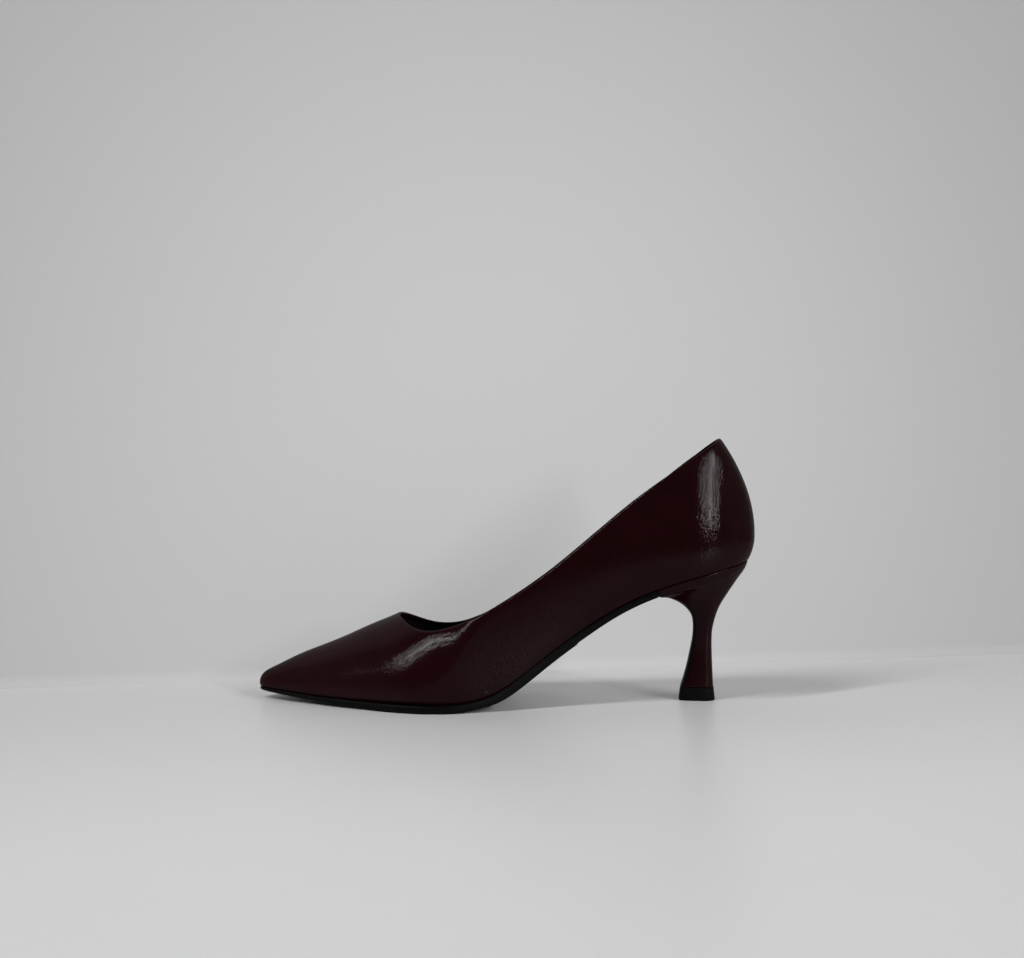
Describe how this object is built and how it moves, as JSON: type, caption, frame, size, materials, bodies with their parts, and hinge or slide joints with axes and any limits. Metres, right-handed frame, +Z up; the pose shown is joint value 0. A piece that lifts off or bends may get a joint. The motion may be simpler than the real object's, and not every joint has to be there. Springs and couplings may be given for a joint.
{
  "type": "spool heel shoe",
  "caption": "Left court shoe with a pointed toe, a low cut smooth leather upper, a thin moulded sole and a high waisted spool heel covered in the same leather.",
  "frame": {"origin": "on the floor, midway along the shoe's length and midway across its width", "axes": "+X from the toe to the heel, +Z up, +Y towards the inner side of the left foot"},
  "size_m": [0.2528, 0.0785, 0.1324],
  "materials": {
    "burgundy_leather": "fine grain, high gloss, very dark red brown",
    "insole_board": "board with a matt black sock",
    "moulded_sole": "satin black moulded sole",
    "heel_cover_leather": "fine grain leather cover, glossy",
    "top_piece_rubber": "satin black hard rubber"
  },
  "bodies": {
    "root": {"upper": "burgundy_leather", "insole": "insole_board", "outsole": "moulded_sole", "heel": "heel_cover_leather", "top_piece": "top_piece_rubber"}
  },
  "joints": []
}
